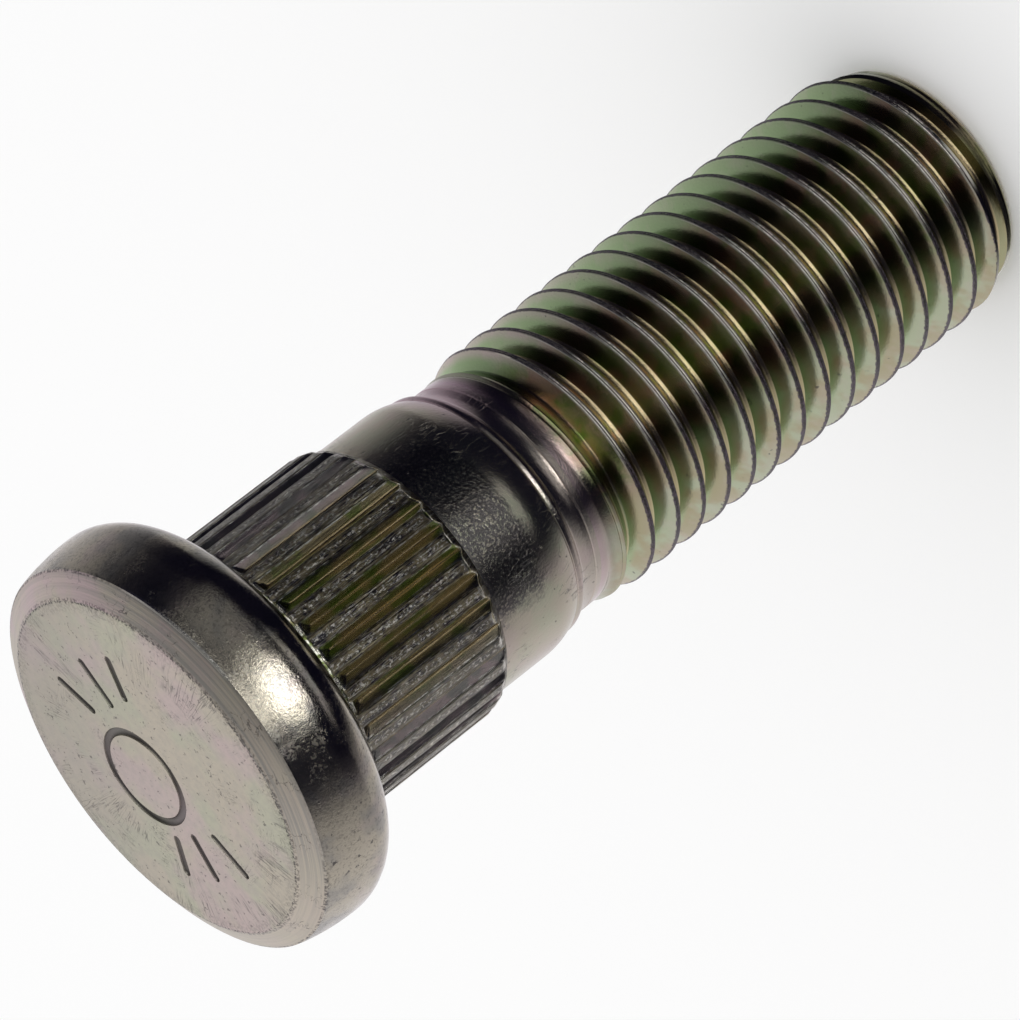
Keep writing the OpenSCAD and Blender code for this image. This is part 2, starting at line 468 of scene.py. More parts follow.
def closeTip(piece):
    # the end ring is extruded round the edge of the end face and filled
    t = thread
    selectVertices(piece, lambda co: co.z < (t["bottomZ"] + 0.001) * mm)
    fromDeg = -math.degrees(math.asin((t["endRound"] - t["bottomZ"]) / t["endRound"]))
    ring = arc(t["endR"], t["endRound"], t["endRound"], fromDeg, -90, t["endRows"])
    for (hereR, hereZ), (nextR, nextZ) in zip(ring, ring[1:]):
        grow = nextR / hereR
        bpy.ops.mesh.extrude_edges_move(TRANSFORM_OT_translate={"value": (0, 0, (nextZ - hereZ) * mm)})
        bpy.ops.transform.resize(value=(grow, grow, 1), center_override=(0, 0, nextZ * mm))
    bpy.ops.mesh.edge_face_add()
    bpy.ops.object.mode_set(mode="OBJECT")


# Plain stamps in the outer face: a ring, and three short strokes on either side

stamps = {
    "ringX": 0.0,
    "ringY": 1.25,
    "ringR": 2.15,
    "cutterR": 0.2,
    "lift": 0.05,
    # each stroke's direction in degrees, and where it starts and ends along the radius
    "strokes": [
        (-31, 3.4, 5.2), (-7, 3.1, 5.1), (21, 3.6, 5.4),
        (186, 3.6, 5.5), (160, 3.3, 5.2), (138, 3.7, 5.4),
    ],
}


def strokeCutter(angleDeg, fromR, toR):
    # a capsule, laid on its side along the radius
    half = (toR - fromR) / 2
    r = stamps["cutterR"]
    points = arc(0, half, r, 90, 0, 5) + arc(0, -half, r, 0, -90, 5)
    cutter = drawOutline("strokeCutter", points)
    spinOutline(cutter, 20)
    for vertex in cutter.data.vertices:
        x, y, z = vertex.co
        vertex.co = (z + (fromR + half) * mm, y, x)
    turnOutward(cutter)
    turn = Matrix.Rotation(math.radians(angleDeg), 4, "Z")
    cutter.data.transform(Matrix.Translation((0, 0, (head["faceZ"] + stamps["lift"]) * mm)) @ turn)
    return cutter


def stampFace(piece):
    t = stamps
    z = (head["faceZ"] + t["lift"]) * mm
    deselectAll()
    bpy.ops.mesh.primitive_torus_add(
        location=(t["ringX"] * mm, t["ringY"] * mm, z), major_radius=t["ringR"] * mm,
        minor_radius=t["cutterR"] * mm, major_segments=96, minor_segments=20)
    ring = bpy.context.object
    joinAll(ring, [strokeCutter(*stroke) for stroke in t["strokes"]])
    cut = piece.modifiers.new("Stamps", "BOOLEAN")
    cut.operation = "DIFFERENCE"
    cut.solver = "EXACT"
    cut.object = ring
    applyModifier(piece, cut)
    bpy.data.objects.remove(ring)


print("spinning the head, serrations and shoulder")
stud = makeUpperBody()
print("screwing the thread")
coil = makeThread()
joinAll(stud, [coil])
bridgeRings(stud, [shoulder["neckEndZ"], thread["topZ"]])
closeTip(stud)
turnOutward(stud)
print("stamping the face")
stampFace(stud)
pick(stud)
bpy.ops.object.shade_smooth_by_angle(angle=math.radians(smoothDeg))


# Materials: plated steel with a thin green and pink sheen, partly painted by side, with painted shade and
# highlights

class Nodes:
    # short calls for a material's or the world's node tree
    def __init__(self, owner):
        owner.use_nodes = True
        self.tree = owner.node_tree
        self.tree.nodes.clear()

    def add(self, kind, values=None, **settings):
        node = self.tree.nodes.new(kind)
        for name, value in settings.items():
            setattr(node, name, value)
        for name, value in (values or {}).items():
            socket = node.inputs[name]
            if isinstance(value, bpy.types.NodeSocket):
                self.tree.links.new(value, socket)
            else:
                socket.default_value = value
        return node

    def math(self, operation, first, second=0.0, clamp=False):
        values = {0: first, 1: second}
        return self.add("ShaderNodeMath", values, operation=operation, use_clamp=clamp).outputs[0]

    def noise(self, place, scale, detail=2.0, roughness=0.5, distortion=0.0):
        values = {
            "Vector": place, "Scale": scale, "Detail": detail,
            "Roughness": roughness, "Distortion": distortion,
        }
        return self.add("ShaderNodeTexNoise", values).outputs["Fac"]

    def ramp(self, value, low, high, start=0.0, end=1.0):
        values = {"Value": value, "From Min": low, "From Max": high, "To Min": start, "To Max": end}
        return self.add("ShaderNodeMapRange", values, interpolation_type="SMOOTHSTEP").outputs[0]

    def window(self, value, low, high, soft, level=1.0):
        # the level from low to high, falling softly to 0 on either side
        rising, falling = self.ramp(value, low - soft, low), self.ramp(value, high, high + soft, level, 0.0)
        return self.math("MULTIPLY", rising, falling)

    def mix(self, share, first, second):
        node = self.add("ShaderNodeMix", data_type="RGBA")
        for socket, value in ((node.inputs[0], share), (node.inputs[6], first), (node.inputs[7], second)):
            if isinstance(value, bpy.types.NodeSocket):
                self.tree.links.new(value, socket)
            else:
                socket.default_value = value if isinstance(value, float) else (*value, 1)
        return node.outputs[2]


# colours of the plating, fresh, worn and stained, also used for painted sheen, shade and highlights
finish = {
    "beige": (0.50, 0.46, 0.37),
    "grey": (0.33, 0.32, 0.29),
    "pink": (0.53, 0.43, 0.42),
    "purple": (0.45, 0.32, 0.38),
    "mint": (0.47, 0.47, 0.36),
    "straw": (0.36, 0.335, 0.21),
    "pale": (0.385, 0.43, 0.295),
    "green": (0.30, 0.41, 0.22),
    "moss": (0.20, 0.25, 0.08),
    "umber": (0.34, 0.29, 0.17),
    "bronze": (0.25, 0.22, 0.15),
    "rust": (0.40, 0.25, 0.17),
    "gold": (0.66, 0.53, 0.31),
    "slate": (0.15, 0.14, 0.145),
    "silver": (0.75, 0.73, 0.66),
    "violet": (0.115, 0.09, 0.125),
    "dark": (0.04, 0.037, 0.045),
}

# roughness of each finish, and the depth of its grain in millimetres
skin = {
    "face": {"roughness": 0.46, "depth": 0.006},
    "bevel": {"roughness": 0.38, "polish": 0.18, "depth": 0.006},
    "rim": {"smooth": 0.18, "worn": 0.32, "calm": 0.08, "depth": 0.009},
    "serrations": {"valley": 0.2, "land": 0.3, "depth": 0.034},
    "shoulder": {"roughness": 0.2, "depth": 0.017},
    "thread": {"roughness": 0.16, "nearSide": 0.08, "crest": 0.1, "depth": 0.011},
}


class Surface:
    # a material under construction, with its place in millimetres, its height, radius and angle
    def __init__(self, name):
        self.material = bpy.data.materials.new(name)
        n = self.n = Nodes(self.material)
        place = n.add("ShaderNodeTexCoord").outputs["Object"]
        inMm = {0: place, 1: (1 / mm,) * 3}
        self.place = n.add("ShaderNodeVectorMath", inMm, operation="MULTIPLY").outputs[0]
        self.x, self.y, self.z = n.add("ShaderNodeSeparateXYZ", {0: self.place}).outputs
        flat = n.add("ShaderNodeCombineXYZ", {0: self.x, 1: self.y}).outputs[0]
        self.radius = n.add("ShaderNodeVectorMath", {0: flat}, operation="LENGTH").outputs["Value"]
        self.angle = n.math("ARCTAN2", self.y, self.x)

    def polar(self, aroundScale, radiusScale, heightScale):
        # coordinates for marks that run round the axis or along it
        n = self.n
        around = n.math("MULTIPLY", self.angle, float(aroundScale))
        out = n.math("MULTIPLY", self.radius, float(radiusScale))
        up = n.math("MULTIPLY", self.z, float(heightScale))
        return n.add("ShaderNodeCombineXYZ", {0: around, 1: out, 2: up}).outputs[0]

    def clouds(self, scale, low, high, shift=0.0):
        # soft patches, and another shift gives others
        values = {0: self.place, 1: (shift, shift, shift)}
        moved = self.n.add("ShaderNodeVectorMath", values, operation="ADD").outputs[0]
        return self.n.ramp(self.n.noise(moved, scale, 3.0, 0.55), low, high)

    def lines(self, coordinates, width, detail=2.0):
        # thin wandering lines where the noise crosses its middle
        value = self.n.noise(coordinates, 1.0, detail, 0.5, 0.4)
        away = self.n.math("ABSOLUTE", self.n.math("SUBTRACT", value, 0.5))
        return self.n.ramp(away, 0.0, width, 1.0, 0.0)

    def band(self, value, low, high, soft):
        return self.n.window(value, low, high, soft)

    def both(self, first, second):
        return self.n.math("MULTIPLY", first, second)

    def glintSide(self):
        # the near side, where the edge between bevel and rim gets a painted highlight
        return self.both(self.band(self.x, 1.6, 5.6, 1.0), self.n.ramp(self.y, -5.0, -6.0))

    def finishWith(self, colour, roughness, height, depth):
        # height runs from 0 to about 1, depth is in millimetres
        n = self.n
        bump = n.add("ShaderNodeBump", {"Strength": 1.0, "Distance": depth * mm, "Height": height})
        shader = n.add("ShaderNodeBsdfPrincipled", {
            "Base Color": colour, "Metallic": 1.0, "Roughness": roughness, "Normal": bump.outputs[0],
        })
        n.add("ShaderNodeOutputMaterial", {"Surface": shader.outputs[0]})
        return self.material


def faceFinish():
    s = Surface("platedFace")
    n = s.n
    colour = n.mix(s.clouds(0.32, 0.45, 0.65, 4.0), finish["beige"], finish["mint"])
    colour = n.mix(s.both(s.clouds(0.26, 0.46, 0.66, 31.0), 0.75), colour, finish["pink"])
    colour = n.mix(s.both(s.clouds(3.5, 0.35, 0.7, 9.0), 0.25), colour, finish["grey"])
    # painted shade: the face turns greyer and darker towards +X and +Y
    towards = n.math("ADD", s.x, s.y)
    colour = n.mix(n.ramp(towards, -1.0, 9.0, 0.0, 0.35), colour, finish["grey"])
    # hairlines run outward in the outer half, scratches lie anywhere
    hairlines = s.lines(s.polar(30, 0.35, 0), 0.035)
    hairlines = s.both(hairlines, s.both(s.band(s.radius, 4.8, 7.6, 0.9), s.clouds(0.45, 0.47, 0.62, 50.0)))
    scratches = s.both(s.lines(s.polar(5, 5, 0), 0.016, 4.0), s.clouds(0.5, 0.54, 0.64, 70.0))
    nearEdge = s.both(s.band(s.radius, 7.5, 7.9, 0.3), 0.25)
    nearEdge = n.math("MAXIMUM", s.band(s.radius, 7.79, 7.86, 0.04), nearEdge)
    edge = s.both(nearEdge, s.clouds(8.0, 0.44, 0.58, 12.0))
    specks = n.ramp(n.noise(s.place, 5.0, 2.0, 0.5), 0.65, 0.71)
    thin = n.math("MAXIMUM", s.both(hairlines, 0.75), s.both(scratches, 0.6))
    marks = n.math("MAXIMUM", thin, n.math("MAXIMUM", edge, s.both(specks, 0.7)))
    # the stamps are dark inside
    sunk = n.ramp(s.z, head["faceZ"] - 0.012, head["faceZ"] - 0.07)
    marks = n.math("MAXIMUM", marks, s.both(sunk, 0.9))
    colour = n.mix(s.both(marks, 0.8), colour, finish["dark"])
    height = n.math("SUBTRACT", n.noise(s.place, 8.0, 3.0, 0.7), marks)
    return s.finishWith(colour, skin["face"]["roughness"], height, skin["face"]["depth"])


def bevelFinish():
    s = Surface("platedBevel")
    n = s.n
    # painted sheen: the bevel turns pinker towards +X
    pinkShare = s.both(s.clouds(0.3, 0.4, 0.6, 22.0), n.ramp(s.x, -1.0, 6.0, 0.2, 1.0))
    colour = n.mix(pinkShare, finish["beige"], finish["pink"])
    rings = n.noise(s.polar(1.2, 9, 9), 1.0, 3.0, 0.6)
    # painted shade: the turning rings are greyer on the near side
    nearSide = n.ramp(s.y, -2.0, -7.0, 0.3, 0.9)
    colour = n.mix(s.both(n.ramp(rings, 0.35, 0.65), nearSide), colour, finish["grey"])
    inner = s.both(s.band(s.radius, 7.83, 7.93, 0.08), 0.8)
    outer = s.both(s.band(s.radius, 8.88, 9.0, 0.05), n.ramp(s.y, -6.5, -4.5, 0.3, 1.0))
    edges = s.both(n.math("MAXIMUM", inner, outer), s.clouds(7.0, 0.42, 0.6, 12.0))
    scratches = s.both(s.lines(s.polar(14, 3, 0), 0.016, 3.0), s.clouds(0.6, 0.53, 0.64, 90.0))
    colour = n.mix(s.both(n.math("MAXIMUM", edges, scratches), 0.75), colour, finish["dark"])
    # painted highlight: a silver line along the bevel's outer edge on the near side, also smoother there
    edgeGlint = s.both(n.ramp(s.radius, 8.86, 8.9), s.glintSide())
    colour = n.mix(s.both(edgeGlint, 0.85), colour, finish["silver"])
    height = n.math("ADD", n.noise(s.place, 8.0, 3.0, 0.7), n.math("MULTIPLY", rings, 1.5))
    roughness = n.math("SUBTRACT", skin["bevel"]["roughness"], s.both(edgeGlint, skin["bevel"]["polish"]))
    return s.finishWith(colour, roughness, height, skin["bevel"]["depth"])


def rimFinish():
    s = Surface("platedRim")
    n = s.n
    colour = n.mix(s.clouds(0.6, 0.4, 0.7, 3.0), finish["beige"], finish["grey"])
    colour = n.mix(s.both(s.clouds(0.45, 0.5, 0.7, 41.0), 0.35), colour, finish["pink"])
    pits = n.ramp(n.noise(s.place, 2.6, 3.0, 0.6), 0.66, 0.7)
    flecks = s.clouds(8.0, 0.52, 0.64, 25.0)
    pits = s.both(pits, n.ramp(s.x, -2.0, -6.0, 0.35, 1.0))
    spots = n.math("MAXIMUM", pits, s.both(flecks, 0.4))
    colour = n.mix(s.both(spots, 0.75), colour, finish["dark"])
    edge = s.both(n.ramp(s.z, head["bevelZ"] - 0.18, head["bevelZ"] - 0.04), s.clouds(7.0, 0.46, 0.6, 12.0))
    edge = s.both(edge, n.ramp(s.y, -7.0, -5.0, 0.1, 1.0))
    colour = n.mix(s.both(edge, 0.7), colour, finish["dark"])
    # painted highlight: a silver line along the top of the rim on the near side
    edgeGlint = s.both(s.glintSide(), n.ramp(s.z, head["bevelZ"] - 0.12, head["bevelZ"] - 0.07))
    colour = n.mix(s.both(edgeGlint, 0.85), colour, finish["silver"])
    worn = s.both(s.clouds(0.7, 0.45, 0.6, 15.0), s.clouds(8.0, 0.45, 0.6, 55.0))
    # smoother towards the head's back edge
    calm = n.ramp(s.z, 42.7, 42.1)
    v = skin["rim"]
    roughness = n.math("SUBTRACT", n.ramp(worn, 0.0, 1.0, v["smooth"], v["worn"]), s.both(calm, v["calm"]))
    height = n.math("SUBTRACT", n.noise(s.place, 10.0, 3.0, 0.7), pits)
    height = s.both(height, n.ramp(calm, 0.0, 1.0, 1.0, 0.5))
    return s.finishWith(colour, roughness, height, v["depth"])


def serrationFinish():
    s = Surface("platedSerrations")
    n = s.n
    v = serration
    # the land is whatever lies near the tops, which taper down at the foot
    taperShare = n.math("MULTIPLY", n.math("SUBTRACT", s.z, v["footZ"]), 1 / v["taperL"], clamp=True)
    topR = n.math("ADD", n.math("MULTIPLY", taperShare, v["topR"] - shoulder["topR"]), shoulder["topR"])
    below = n.math("SUBTRACT", s.radius, topR)
    land = n.ramp(below, -0.075, -0.04)
    # painted shade and reflected light: the valleys on the near side take an olive copy of their colour, the
    # others a grey, pink and slate one
    nearSide = s.both(n.ramp(s.y, 0.0, -2.0), s.both(n.ramp(s.x, 4.4, 3.4), n.ramp(s.x, -4.8, -3.4)))
    shaded = n.mix(s.clouds(0.6, 0.42, 0.6, 8.0), finish["umber"], finish["moss"])
    worn = n.mix(s.clouds(0.8, 0.4, 0.6, 19.0), finish["grey"], finish["pink"])
    valley = n.mix(nearSide, n.mix(0.4, worn, finish["slate"]), shaded)
    root = n.ramp(s.radius, v["rootR"] + 0.02, v["rootR"] + 0.06, 1.0, 0.0)
    valley = n.mix(s.both(root, 0.8), valley, finish["gold"])
    streaks = n.ramp(n.noise(s.polar(70, 0, 0.35), 1.0, 2.0, 0.6), 0.46, 0.6)
    top = n.mix(streaks, finish["dark"], finish["bronze"])
    # counted in serrations, from the middle of one valley to the next
    start = v["count"] - 0.5 - v["turnDeg"] * v["count"] / 360
    turn = n.math("ADD", n.math("MULTIPLY", s.angle, v["count"] / fullTurn), start)
    middle = s.band(n.math("FRACT", turn), 0.42, 0.58, 0.06)
    top = n.mix(s.both(s.clouds(2.2, 0.4, 0.6, 17.0), 0.5), top, finish["umber"])
    # painted light: the tops turn greyer and lighter away from the near side, towards the stud's outline
    farSide = n.math("MAXIMUM", n.ramp(s.x, 2.5, 5.5), n.ramp(s.x, -2.0, -5.5))
    top = n.mix(s.both(farSide, 0.55), top, finish["grey"])
    # fine lines along the tops, and a row of bright beads down the middle
    drawn = n.ramp(n.noise(s.polar(110, 0, 1.4), 1.0, 3.0, 0.6), 0.55, 0.63)
    top = n.mix(s.both(drawn, 0.45), top, finish["silver"])
    beads = n.math("ADD", n.noise(s.polar(55, 0, 5.5), 1.0, 3.0, 0.7), s.both(middle, 0.1))
    top = n.mix(s.both(n.ramp(beads, 0.63, 0.68), 0.95), top, finish["silver"])
    colour = n.mix(land, valley, top)
    edge = s.both(s.band(below, -0.1, -0.06, 0.025), s.clouds(3.0, 0.38, 0.56, 29.0))
    colour = n.mix(s.both(edge, 0.85), colour, finish["silver"])
    scrapes = n.math("ADD", streaks, n.noise(s.polar(45, 0, 0.9), 1.0, 3.0, 0.6))
    grit = s.both(n.noise(s.place, 6.0, 3.0, 0.7), n.ramp(middle, 0.0, 1.0, 0.35, 2.2))
    height = s.both(n.math("ADD", scrapes, grit), n.ramp(land, 0.0, 1.0, 0.12, 1.0))
    roughness = n.ramp(land, 0.0, 1.0, skin["serrations"]["valley"], skin["serrations"]["land"])
    return s.finishWith(colour, roughness, height, skin["serrations"]["depth"])


def shoulderFinish():
    s = Surface("platedShoulder")
    n = s.n
    colour = n.mix(s.clouds(0.5, 0.42, 0.66, 5.0), finish["beige"], finish["mint"])
    neckward = n.ramp(s.z, 27.4, 26.6)
    pinkShare = n.math("ADD", s.both(s.clouds(0.4, 0.5, 0.7, 33.0), 0.4), s.both(neckward, 0.45), clamp=True)
    colour = n.mix(pinkShare, colour, finish["pink"])
    # painted sheen: purple towards +X by the neck
    purpleSide = s.both(n.ramp(s.x, 2.2, 4.6), n.ramp(s.z, 28.2, 26.8))
    colour = n.mix(s.both(purpleSide, 0.8), colour, finish["purple"])
    specks = n.ramp(n.noise(s.place, 3.2, 3.0, 0.6), 0.67, 0.71)
    scratches = s.both(s.lines(s.polar(16, 0, 0.7), 0.012, 3.0), s.clouds(0.5, 0.5, 0.62, 60.0))
    marks = n.math("MAXIMUM", specks, scratches)
    colour = n.mix(s.both(marks, 0.6), colour, finish["dark"])
    # scuffed patch on the near side, below the serrations
    patch = s.both(n.ramp(s.y, -3.6, -5.6), s.both(n.ramp(s.z, 27.9, 29.2), n.ramp(s.z, 31.8, 31.2)))
    torn = n.math("MULTIPLY", n.math("SUBTRACT", n.noise(s.place, 1.6, 4.0, 0.7), 0.5), 1.2)
    ragged = n.math("ADD", patch, torn)
    patch = s.both(n.ramp(patch, 0.05, 0.4), n.ramp(ragged, 0.25, 0.85))
    grit = n.noise(s.place, 8.0, 2.0, 0.6)
    flakes = n.math("MULTIPLY", n.ramp(grit, 0.5, 0.62), 0.6)
    colour = n.mix(s.both(patch, n.math("SUBTRACT", 0.85, flakes)), colour, finish["slate"])
    height = s.both(grit, n.ramp(patch, 0.0, 1.0, 0.35, 1.0))
    height = n.math("SUBTRACT", height, n.math("MULTIPLY", marks, 0.4))
    return s.finishWith(colour, skin["shoulder"]["roughness"], height, skin["shoulder"]["depth"])


def threadFinish():
    s = Surface("platedThread")
    n = s.n
    # painted sheen and shade: the flanks take an olive, umber and rust copy of their colour on the near
    # side, green towards +X and straw towards -X
    nearFlank = n.mix(s.clouds(0.9, 0.42, 0.58, 61.0), finish["umber"], finish["moss"])
    nearFlank = n.mix(s.both(s.clouds(0.7, 0.5, 0.62, 44.0), 0.8), nearFlank, finish["rust"])
    farFlank = n.mix(s.clouds(0.5, 0.42, 0.6, 2.0), finish["straw"], finish["pale"])
    flank = n.mix(n.ramp(s.x, 3.0, 4.8), nearFlank, finish["green"])
    flank = n.mix(n.ramp(s.x, -1.8, -3.6), flank, farFlank)
    upward = n.ramp(s.z, 12.0, 24.0)
    outward = n.ramp(s.radius, 5.45, 5.85)
    # painted sheen: pinker towards +X by the neck
    pinkSide = s.both(upward, n.ramp(s.x, 2.0, 5.0))
    pinkShare = s.both(outward, n.math("ADD", 0.1, s.both(pinkSide, 0.6)))
    pinkShare = n.math("ADD", pinkShare, s.both(s.clouds(0.6, 0.5, 0.62, 77.0), 0.14), clamp=True)
    flank = n.mix(pinkShare, flank, finish["pink"])
    # painted sheen: the roots turn green towards -X
    inward = s.both(n.ramp(s.radius, 5.45, 5.2), n.ramp(s.x, -1.0, -4.0))
    flank = n.mix(s.both(inward, 0.6), flank, finish["green"])
    neckward = n.ramp(s.z, 24.2, 25.3)
    # painted sheen: the neck's colour turns purple towards +X
    flank = n.mix(neckward, flank, n.mix(n.ramp(s.x, 2.2, 4.6), finish["pink"], finish["purple"]))
    flank = n.mix(n.ramp(s.z, 2.2, 1.0, 0.0, 0.6), flank, finish["umber"])
    # the crest's dark strip is wider on the bright side
    wider = n.math("MAXIMUM", n.ramp(s.x, -1.6, -3.4, 0.0, 0.035), n.ramp(s.x, 4.6, 5.6, 0.0, 0.02))
    crestSpecks = n.ramp(n.noise(s.place, 7.0, 3.0, 0.7), 0.4, 0.6)
    ragged = s.both(wider, n.ramp(crestSpecks, 0.0, 1.0, 1.8, 0.5))
    crest = n.ramp(n.math("ADD", s.radius, ragged), thread["crestR"] - 0.03, thread["crestR"] - 0.008)
    crestColour = n.mix(crestSpecks, finish["violet"], finish["dark"])
    colour = n.mix(s.both(crest, 0.9), flank, crestColour)
    # the lips of the crests shine on the near side: a painted highlight, silver only there
    lip = n.ramp(s.radius, thread["crestR"] - 0.11, thread["crestR"] - 0.07)
    lip = s.both(lip, n.math("SUBTRACT", 1.0, crest))
    lip = s.both(lip, s.both(n.ramp(s.x, 5.0, 3.8, 0.1, 1.0), n.ramp(s.x, -2.8, -1.2)))
    colour = n.mix(s.both(lip, 0.8), colour, finish["silver"])
    root = n.ramp(s.radius, 5.07, 5.12, 1.0, 0.0)
    colour = n.mix(s.both(root, 0.7), colour, finish["gold"])
    specks = n.ramp(n.noise(s.place, 3.0, 3.0, 0.6), 0.68, 0.73)
    colour = n.mix(s.both(specks, 0.6), colour, finish["dark"])
    nearSide = s.band(s.x, -0.5, 1.8, 0.8)
    v = skin["thread"]
    duller = s.both(s.both(nearSide, v["nearSide"]), n.math("SUBTRACT", 1.0, lip))
    roughness = n.math("ADD", n.math("ADD", v["roughness"], duller), n.math("MULTIPLY", crest, v["crest"]))
    grit = s.both(n.noise(s.place, 9.0, 3.0, 0.7), n.ramp(nearSide, 0.0, 1.0, 0.5, 1.2))
    height = n.math("SUBTRACT", grit, n.math("MULTIPLY", crest, crestSpecks))
    return s.finishWith(colour, roughness, height, v["depth"])


print("mixing the finishes")
zones = {
    "face": faceFinish(),
    "bevel": bevelFinish(),
    "rim": rimFinish(),
    "serrations": serrationFinish(),
    "shoulder": shoulderFinish(),
    "thread": threadFinish(),
}


def zoneOf(centre):
    z, r = centre.z / mm, math.hypot(centre.x, centre.y) / mm
    if z > head["bevelZ"]:
        return "face" if r < head["faceR"] else "bevel"
    if z > serration["bandZ"] + 0.1:
        return "rim"
    if z > serration["footZ"]:
        return "serrations"
    if z > thread["topZ"] + 0.01:
        return "shoulder"
    return "thread"


stud.data.materials.clear()
zoneNames = list(zones)
for zoneName in zoneNames:
    stud.data.materials.append(zones[zoneName])
for face in stud.data.polygons:
    face.material_index = zoneNames.index(zoneOf(face.center))

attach(stud, "root")
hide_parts("wheel_stud")


# Floor, light and camera

# White paper in plain white light. The polished steel also reflects what stands round a product table:
# a dark side, a dim ceiling and a lamp. These cards are seen in reflections only
studio = {
    "floorSize": 3.0,
    "paperWhite": 0.98,
    "cardR": 1.3,
    "cardLift": 0.00005,
    "cardSegments": 96,
    # brightness round the table, by direction in degrees from +Y toward +X
    "azimuthLevels": [
        (0, 1.0), (25, 0.9), (40, 0.62), (60, 0.38), (74, 0.2), (88, 0.03), (100, 0.008),
        (228, 0.008), (240, 0.05), (252, 0.36), (270, 0.62), (295, 0.85), (360, 1.0),
    ],
    "greenShare": 0.97,
    "blueShade": 0.01,
    "ceilingFromDeg": 48,
    "ceilingToDeg": 88,
    "ceilingLevel": 0.25,
    "lampDeg": 187,
    "lampWide": 13,
    "tableLevel": 0.9,
    "skyLevel": 1.05,
    # the lamp's glints in the table: start, end and soft edge in mm, width in degrees, level
    "nearBands": [
        (5.8, 9, 0.3, 13, 0.5), (50, 57, 3, 18, 0.55), (62, 67, 2, 24, 0.5),
        (69, 80, 3, 26, 0.3), (132, 260, 14, 13, 6.0),
    ],
    # fainter light: start, end and soft edge in degrees, the same in mm, level
    "glows": [
        (134, 172, 12, 116, 2000, 22, 0.22), (60, 84, 26, 20, 44, 6, 0.22),
        (238, 262, 14, 22, 60, 6, 0.11),
    ],
    "skyLampLevel": 1.6,
    "skyLampTopDeg": 14,
    "skyLampSoft": 6,
    "softbox": {"fromDeg": 134, "toDeg": 204, "lowDeg": 16, "highDeg": 47, "soft": 8, "level": 1.2},
    "underTipMm": 5.32,
    "underTipLevel": 0.5,
}


def azimuthLevel(n, x, y):
    # the azimuth in degrees, and the brightness there
    turn = n.math("DIVIDE", n.math("ARCTAN2", x, y), fullTurn)
    share = n.math("FRACT", n.math("ADD", turn, 1.0))
    ramp = n.add("ShaderNodeValToRGB", {0: share})
    stops = ramp.color_ramp.elements
    for deg, level in studio["azimuthLevels"][1:-1]:
        stops.new(deg / 360)
    for stop, (deg, level) in zip(stops, studio["azimuthLevels"]):
        green, blue = level * studio["greenShare"], level + studio["blueShade"] * (1 - level)
        stop.position, stop.color = deg / 360, (level, green, blue, 1)
    return n.math("MULTIPLY", share, 360.0), ramp.outputs[0]


def sideways(n, azimuth, middleDeg, wideDeg):
    # full over the width, and fading out on either side
    away = n.math("ABSOLUTE", n.math("SUBTRACT", azimuth, float(middleDeg)))
    return n.ramp(away, wideDeg * 0.5, wideDeg * 1.4, 1.0, 0.0)


def finishCard(card, name, n, level, share, lamp):
    lampLight = n.add("ShaderNodeEmission", {"Strength": lamp})
    plain = n.add("ShaderNodeEmission", {"Color": level, "Strength": share})
    total = n.add("ShaderNodeAddShader", {0: plain.outputs[0], 1: lampLight.outputs[0]})
    n.add("ShaderNodeOutputMaterial", {"Surface": total.outputs[0]})
    card.name = card.data.name = name
    for seenBy in ("camera", "diffuse", "transmission", "volume_scatter", "shadow"):
        setattr(card, "visible_" + seenBy, False)


def makeTableCard():
    # what the shank, shoulder and rim reflect in the table, by direction and distance
    t = studio
    deselectAll()
    bpy.ops.mesh.primitive_circle_add(
        vertices=t["cardSegments"], radius=t["cardR"], fill_type="NGON", location=(0, 0, t["cardLift"]))
    card = bpy.context.object
    bpy.ops.object.transform_apply(location=True)
    card.data.materials.append(bpy.data.materials.new("tableReflection"))
    n = Nodes(card.data.materials[0])
    place = n.add("ShaderNodeTexCoord").outputs["Object"]
    x, y = n.add("ShaderNodeSeparateXYZ", {0: place}).outputs[:2]
    azimuth, level = azimuthLevel(n, x, y)
    length = n.add("ShaderNodeVectorMath", {0: place}, operation="LENGTH").outputs["Value"]
    distance = n.math("MULTIPLY", length, 1 / mm)
    lamp = 0.0
    for start, end, soft, wide, bright in t["nearBands"]:
        band = n.window(distance, start, end, soft, bright)
        lamp = n.math("ADD", lamp, n.math("MULTIPLY", sideways(n, azimuth, t["lampDeg"], wide), band))
    for fromDeg, toDeg, softDeg, near, far, softMm, bright in t["glows"]:
        across = n.window(azimuth, fromDeg, toDeg, softDeg, bright)
        along = n.window(distance, near, far, softMm)
        lamp = n.math("ADD", lamp, n.math("MULTIPLY", across, along))
    # painted reflection: a glow round the stud's foot, seen only in its rounded end, stands in for the light
    # paper there
    underTip = n.ramp(distance, t["underTipMm"], t["underTipMm"] + 0.2, t["underTipLevel"], 0.0)
    finishCard(card, "tableCard", n, level, t["tableLevel"], n.math("ADD", lamp, underTip))


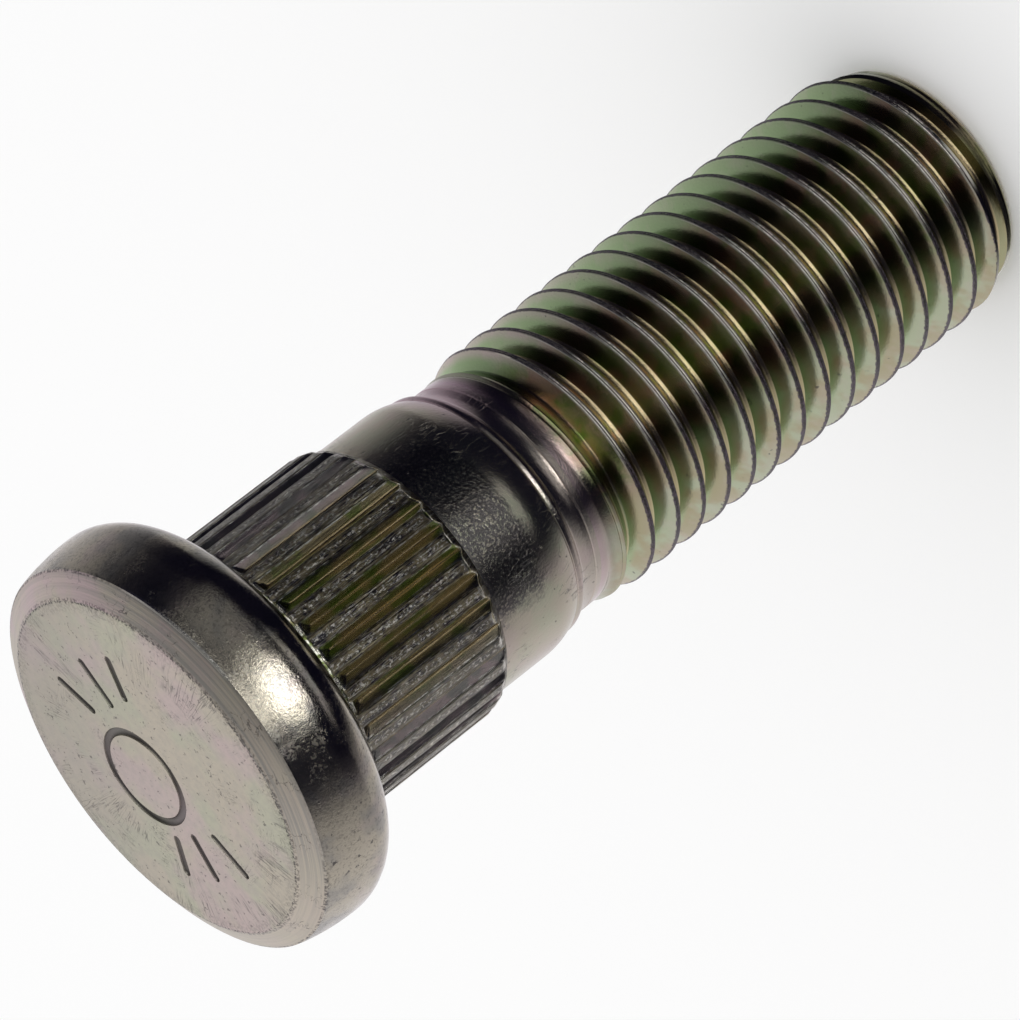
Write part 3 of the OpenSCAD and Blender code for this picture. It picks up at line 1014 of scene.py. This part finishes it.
def makeSkyCard():
    # a dome: the dark side, the lamp above the table's edge and the dim ceiling
    t = studio
    deselectAll()
    bpy.ops.mesh.primitive_uv_sphere_add(
        segments=t["cardSegments"], ring_count=t["cardSegments"] // 2, radius=t["cardR"])
    card = bpy.context.object
    selectVertices(card, lambda co: co.z < -0.001)
    bpy.ops.mesh.delete(type="VERT")
    bpy.ops.object.mode_set(mode="OBJECT")
    card.data.materials.append(bpy.data.materials.new("skyReflection"))
    n = Nodes(card.data.materials[0])
    place = n.add("ShaderNodeTexCoord").outputs["Object"]
    x, y, z = n.add("ShaderNodeSeparateXYZ", {0: place}).outputs
    azimuth, level = azimuthLevel(n, x, y)
    height = n.math("DEGREES", n.math("ARCSINE", n.math("DIVIDE", z, t["cardR"] * 1.0001)))
    ceiling = n.ramp(height, t["ceilingFromDeg"], t["ceilingToDeg"])
    level = n.mix(ceiling, level, (t["ceilingLevel"],) * 3)
    topDeg, soft = t["skyLampTopDeg"], t["skyLampSoft"]
    lampTop = n.ramp(height, topDeg - soft, topDeg + soft, t["skyLampLevel"], 0.0)
    lamp = n.math("MULTIPLY", sideways(n, azimuth, t["lampDeg"], t["lampWide"]), lampTop)
    box = t["softbox"]
    across = n.window(azimuth, box["fromDeg"], box["toDeg"], box["soft"])
    upDown = n.window(height, box["lowDeg"], box["highDeg"], box["soft"], box["level"])
    lamp = n.math("ADD", lamp, n.math("MULTIPLY", across, upDown))
    finishCard(card, "skyCard", n, level, t["skyLevel"], lamp)


print("setting the floor, light and camera")
deselectAll()
bpy.ops.mesh.primitive_plane_add(size=studio["floorSize"])
floor = bpy.context.object
floor.name = "floor"
floor.data.materials.append(bpy.data.materials.new("whitePaper"))
paperNodes = Nodes(floor.data.materials[0])
paper = paperNodes.add("ShaderNodeBsdfDiffuse", {"Color": (*[studio["paperWhite"]] * 3, 1)})
paperNodes.add("ShaderNodeOutputMaterial", {"Surface": paper.outputs[0]})
makeTableCard()
makeSkyCard()

world = bpy.data.worlds.new("studio")
bpy.context.scene.world = world
worldNodes = Nodes(world)
white = worldNodes.add("ShaderNodeBackground", {"Color": (1, 1, 1, 1), "Strength": 1.0})
worldNodes.add("ShaderNodeOutputWorld", {"Surface": white.outputs[0]})

# the camera is rolled, so that the standing stud lies across the picture
view = {
    "place": (-0.000511, -0.256519, 0.162903),
    "turn": (
        (-0.6129, 0.79016, 0.0),
        (-0.37339, -0.28963, -0.8813),
        (-0.69637, -0.54015, 0.47255),
    ),
    "focalPixels": 7182,
    "pictureWide": 1020,
    "sensorWide": 36,
    "nearClip": 0.01,
}
bpy.ops.object.camera_add(location=view["place"])
camera = bpy.context.object
camera.rotation_euler = Matrix(view["turn"]).to_euler()
camera.data.lens = view["focalPixels"] / view["pictureWide"] * view["sensorWide"]
camera.data.clip_start = view["nearClip"]
bpy.context.scene.camera = camera
bpy.context.scene.view_settings.view_transform = "Standard"
